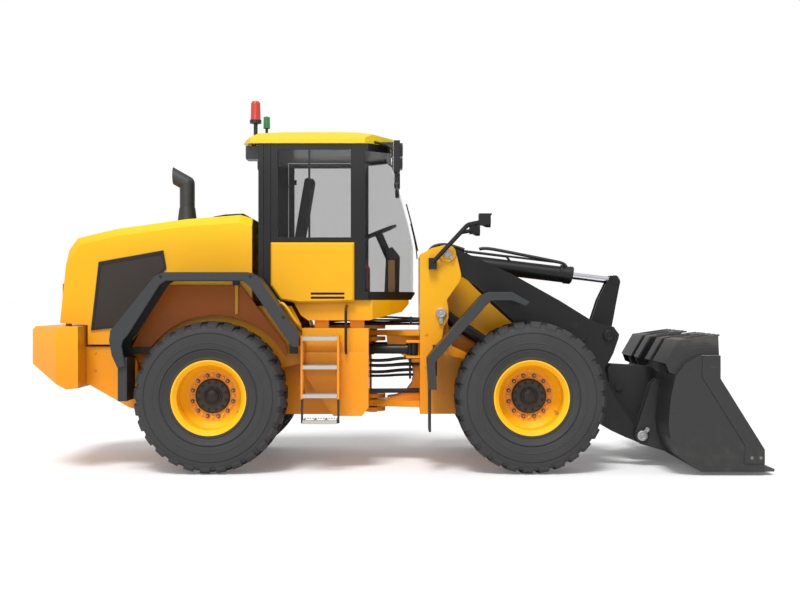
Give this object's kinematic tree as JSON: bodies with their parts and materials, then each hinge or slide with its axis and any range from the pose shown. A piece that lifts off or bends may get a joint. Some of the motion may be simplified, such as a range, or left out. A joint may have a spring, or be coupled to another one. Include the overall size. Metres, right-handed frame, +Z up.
{
  "type": "articulated wheel loader",
  "caption": "Articulated wheel loader with a closed cab, a rear engine hood, Z-linkage arms and a wide digging bucket.",
  "frame": {"origin": "on the ground, on the centre line, at the middle of the overall length", "axes": "+X forward towards the bucket, +Y left, +Z up"},
  "size_m": [7.08, 2.52, 3.62],
  "materials": {
    "yellow_paint": "gloss paint",
    "rim_paint": "gloss paint",
    "dark_frame": "satin paint",
    "arm_paint": "satin paint",
    "chromed_rod": "polished",
    "black_trim": "satin paint",
    "worn_steel": "galvanised or worn bright",
    "tinted_glass": "tinted clear",
    "seat_cloth": "woven",
    "lamp_plastic": "clear coloured",
    "cast_axle": "painted",
    "tyre_rubber": "matt"
  },
  "bodies": {
    "rear_frame": {"rear_chassis": "yellow_paint", "counterweight": "yellow_paint", "engine_block": "black_trim", "rear_fenders": "dark_frame", "rear_axle": "cast_axle", "cab_frame": "dark_frame", "cab_roof": "yellow_paint", "cab_glass": "tinted_glass", "seat": "seat_cloth", "controls": "black_trim", "side_tanks": "yellow_paint", "ladders": "worn_steel", "beacons": "lamp_plastic", "mirrors": "black_trim"},
    "hood": {"hood": "yellow_paint", "side_grilles": "black_trim", "rear_grille": "black_trim", "exhaust_stack": "black_trim"},
    "cab_door": {"cab_door": "dark_frame", "door_glass": "tinted_glass"},
    "front_frame": {"front_chassis": "yellow_paint", "front_fenders": "dark_frame", "front_axle": "cast_axle", "mud_flaps": "black_trim", "headlamps": "black_trim"},
    "boom": {"boom": "arm_paint"},
    "bell_crank": {"bell_crank": "arm_paint"},
    "tilt_link": {"tilt_link": "arm_paint"},
    "bucket": {"bucket": "arm_paint", "cutting_edge": "worn_steel"},
    "tilt_barrel": {"tilt_barrel": "arm_paint"},
    "tilt_rod": {"tilt_rod": "chromed_rod"},
    "lift_barrel_left": {"lift_barrel_left": "arm_paint"},
    "lift_rod_left": {"lift_rod_left": "chromed_rod"},
    "steer_barrel_left": {"steer_barrel_left": "arm_paint"},
    "steer_rod_left": {"steer_rod_left": "chromed_rod"},
    "lift_barrel_right": {"lift_barrel_right": "arm_paint"},
    "lift_rod_right": {"lift_rod_right": "chromed_rod"},
    "steer_barrel_right": {"steer_barrel_right": "arm_paint"},
    "steer_rod_right": {"steer_rod_right": "chromed_rod"},
    "wheel_front_left": {"tyre_front_left": "tyre_rubber", "wheel_front_left": "rim_paint"},
    "wheel_front_right": {"tyre_front_right": "tyre_rubber", "wheel_front_right": "rim_paint"},
    "wheel_rear_left": {"tyre_rear_left": "tyre_rubber", "wheel_rear_left": "rim_paint"},
    "wheel_rear_right": {"tyre_rear_right": "tyre_rubber", "wheel_rear_right": "rim_paint"}
  },
  "joints": [
    {"name": "articulation", "type": "hinge", "parent": "rear_frame", "child": "front_frame", "pos_m": [-0.24, 0, 1], "axis": [0, 0, 1], "range_deg": [-40, 40]},
    {"name": "lift", "type": "hinge", "parent": "front_frame", "child": "boom", "pos_m": [0.505, 0, 2.096], "axis": [0, -1, 0], "range_deg": [-2, 86]},
    {"name": "dump", "type": "hinge", "parent": "boom", "child": "bucket", "pos_m": [2.417, 0, 0.308], "axis": [0, 1, 0], "range_deg": [-38, 128]},
    {"name": "crank_turn", "type": "hinge", "parent": "boom", "child": "bell_crank", "pos_m": [2.1, 0, 1.287], "axis": [0, 1, 0], "range_deg": [-35.84, 10.64]},
    {"name": "link_turn", "type": "hinge", "parent": "bell_crank", "child": "tilt_link", "pos_m": [1.9, 0, 0.48], "axis": [0, 1, 0], "range_deg": [-27.74, 93.44]},
    {"name": "tilt_barrel_turn", "type": "hinge", "parent": "front_frame", "child": "tilt_barrel", "pos_m": [0.405, 0, 2.06], "axis": [0, -1, 0], "range_deg": [-1.88, 80.84]},
    {"name": "tilt_rod_slide", "type": "slide", "parent": "tilt_barrel", "child": "tilt_rod", "axis": [0.9926, 0, -0.1214], "range_m": [-0.3352, 0.0996]},
    {"name": "lift_barrel_turn_left", "type": "hinge", "parent": "front_frame", "child": "lift_barrel_left", "pos_m": [0.443, 0.298, 1.511], "axis": [0, -1, 0], "range_deg": [-1.92, 82.56]},
    {"name": "lift_rod_slide_left", "type": "slide", "parent": "lift_barrel_left", "child": "lift_rod_left", "axis": [0.8347, 0, -0.5506], "range_m": [-0.0196, 0.8407]},
    {"name": "lift_barrel_turn_right", "type": "hinge", "parent": "front_frame", "child": "lift_barrel_right", "pos_m": [0.443, -0.298, 1.511], "axis": [0, -1, 0], "range_deg": [-1.92, 82.56]},
    {"name": "lift_rod_slide_right", "type": "slide", "parent": "lift_barrel_right", "child": "lift_rod_right", "axis": [0.8347, 0, -0.5506], "range_m": [-0.0196, 0.8407]},
    {"name": "steer_barrel_turn_left", "type": "hinge", "parent": "front_frame", "child": "steer_barrel_left", "pos_m": [0.18, 0.42, 1.15], "axis": [0, 0, 1], "range_deg": [-16.8, 16.8]},
    {"name": "steer_rod_slide_left", "type": "slide", "parent": "steer_barrel_left", "child": "steer_rod_left", "axis": [-0.9877, -0.1566, 0], "range_m": [-0.2444, 0.2444]},
    {"name": "steer_barrel_turn_right", "type": "hinge", "parent": "front_frame", "child": "steer_barrel_right", "pos_m": [0.18, -0.42, 1.15], "axis": [0, 0, 1], "range_deg": [-16.8, 16.8]},
    {"name": "steer_rod_slide_right", "type": "slide", "parent": "steer_barrel_right", "child": "steer_rod_right", "axis": [-0.9877, 0.1566, 0], "range_m": [-0.2444, 0.2444]},
    {"name": "hood_lift", "type": "hinge", "parent": "rear_frame", "child": "hood", "pos_m": [-3.225, 0, 1.425], "axis": [0, -1, 0], "range_deg": [0, 35]},
    {"name": "door_swing", "type": "hinge", "parent": "rear_frame", "child": "cab_door", "pos_m": [-1.15, 0.722, 2.4], "axis": [0, 0, 1], "range_deg": [0, 90]},
    {"name": "spin_front_left", "type": "hinge", "parent": "front_frame", "child": "wheel_front_left", "pos_m": [1.275, 0.965, 0.71965], "axis": [0, 1, 0], "continuous": true},
    {"name": "spin_front_right", "type": "hinge", "parent": "front_frame", "child": "wheel_front_right", "pos_m": [1.275, -0.965, 0.71965], "axis": [0, 1, 0], "continuous": true},
    {"name": "spin_rear_left", "type": "hinge", "parent": "rear_frame", "child": "wheel_rear_left", "pos_m": [-1.755, 0.965, 0.71965], "axis": [0, 1, 0], "continuous": true},
    {"name": "spin_rear_right", "type": "hinge", "parent": "rear_frame", "child": "wheel_rear_right", "pos_m": [-1.755, -0.965, 0.71965], "axis": [0, 1, 0], "continuous": true}
  ],
  "couplings": [
    {"joint": "crank_turn", "follows": "dump", "ratio": -0.28},
    {"joint": "link_turn", "follows": "dump", "ratio": 0.73},
    {"joint": "tilt_barrel_turn", "follows": "lift", "ratio": 0.94},
    {"joint": "tilt_rod_slide", "follows": "dump", "m_per_rad": -0.15},
    {"joint": "lift_barrel_turn_left", "follows": "lift", "ratio": 0.96},
    {"joint": "lift_rod_slide_left", "follows": "lift", "m_per_rad": 0.56},
    {"joint": "lift_barrel_turn_right", "follows": "lift", "ratio": 0.96},
    {"joint": "lift_rod_slide_right", "follows": "lift", "m_per_rad": 0.56},
    {"joint": "steer_barrel_turn_left", "follows": "articulation", "ratio": -0.42},
    {"joint": "steer_rod_slide_left", "follows": "articulation", "m_per_rad": -0.35},
    {"joint": "steer_barrel_turn_right", "follows": "articulation", "ratio": -0.42},
    {"joint": "steer_rod_slide_right", "follows": "articulation", "m_per_rad": 0.35}
  ]
}
